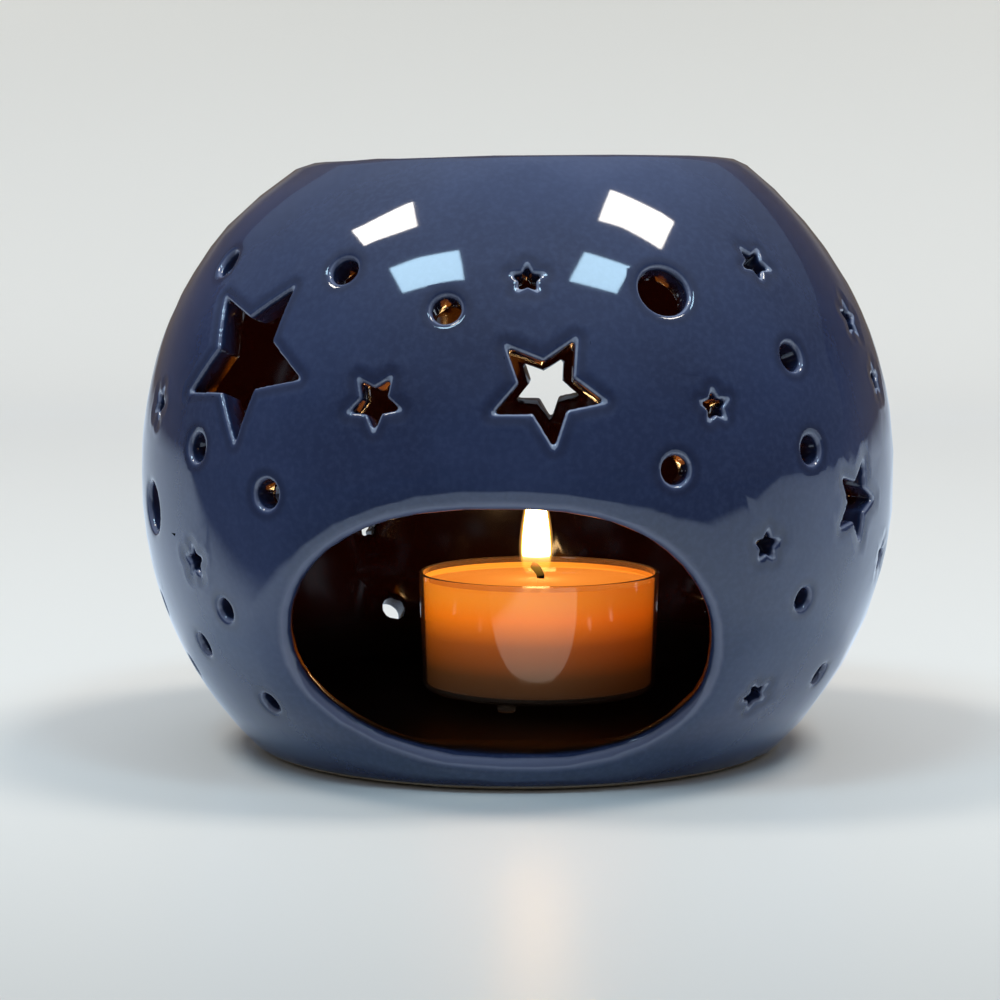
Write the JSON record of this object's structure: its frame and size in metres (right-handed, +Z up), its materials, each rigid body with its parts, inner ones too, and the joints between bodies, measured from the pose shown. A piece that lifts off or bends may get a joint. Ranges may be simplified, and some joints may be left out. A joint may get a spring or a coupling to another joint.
{
  "type": "essential oil burner",
  "caption": "Round stoneware oil burner with a shallow oil dish in its top, a star-pierced wall and an oval mouth that takes a tealight.",
  "frame": {"origin": "centre of the foot ring, on the surface that the burner stands on", "axes": "+Z up along the axis of the globe; the mouth faces -Y; +X to the right as seen looking into the mouth"},
  "size_m": [0.12, 0.12, 0.093],
  "materials": {
    "glaze": "glossy navy glaze on stoneware",
    "clear_cup": "clear moulded polycarbonate cup, thin and glossy",
    "wax": "solid candle wax, translucent and satin",
    "melted_wax": "melted wax, clear and wet",
    "wick_cotton": "braided cotton, charred at its free end",
    "sustainer_steel": "thin tinned steel"
  },
  "bodies": {
    "burner": {"globe_shell": "glaze", "oil_dish": "glaze"},
    "tealight": {"tealight_cup": "clear_cup", "tealight_wax": "wax", "wax_pool": "melted_wax", "wick": "wick_cotton", "wick_sustainer": "sustainer_steel"}
  },
  "joints": [
    {"name": "tealight_slide", "type": "slide", "parent": "burner", "child": "tealight", "axis": [0, -0.9925, 0.1219], "range_m": [0, 0.09]}
  ]
}
